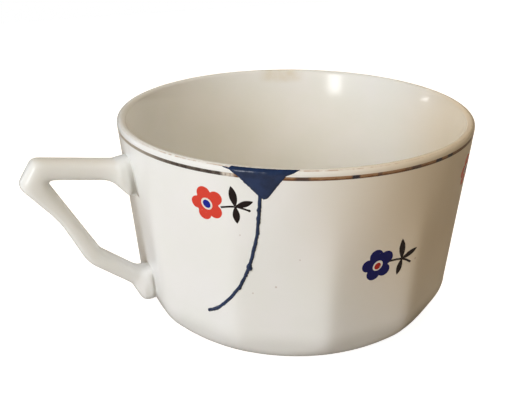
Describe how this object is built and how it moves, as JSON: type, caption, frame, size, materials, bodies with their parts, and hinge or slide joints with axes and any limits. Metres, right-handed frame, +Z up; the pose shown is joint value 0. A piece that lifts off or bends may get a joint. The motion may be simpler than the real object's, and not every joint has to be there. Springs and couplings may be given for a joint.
{
  "type": "cracked mug",
  "caption": "Low wide glazed mug with panelled sides and an angular handle; a flaked chip in its rim and the crack below it are filled with dark blue resin.",
  "frame": {"origin": "middle of the whole outline, handle included, on the surface that the mug stands on", "axes": "+Z up, -X along the handle, the chip and crack on the -Y side"},
  "size_m": [0.132, 0.1038, 0.0606],
  "materials": {
    "cream_glaze": "glossy cream glaze on earthenware, with specks and light stains",
    "blue_resin": "glossy opaque dark blue",
    "printed_enamel": "flat printed colours under a thin gloss",
    "worn_gilt": "thin painted metal line, worn and darkened"
  },
  "bodies": {
    "root": {"cup": "cream_glaze", "blue_repair_fill": "blue_resin"}
  },
  "joints": []
}
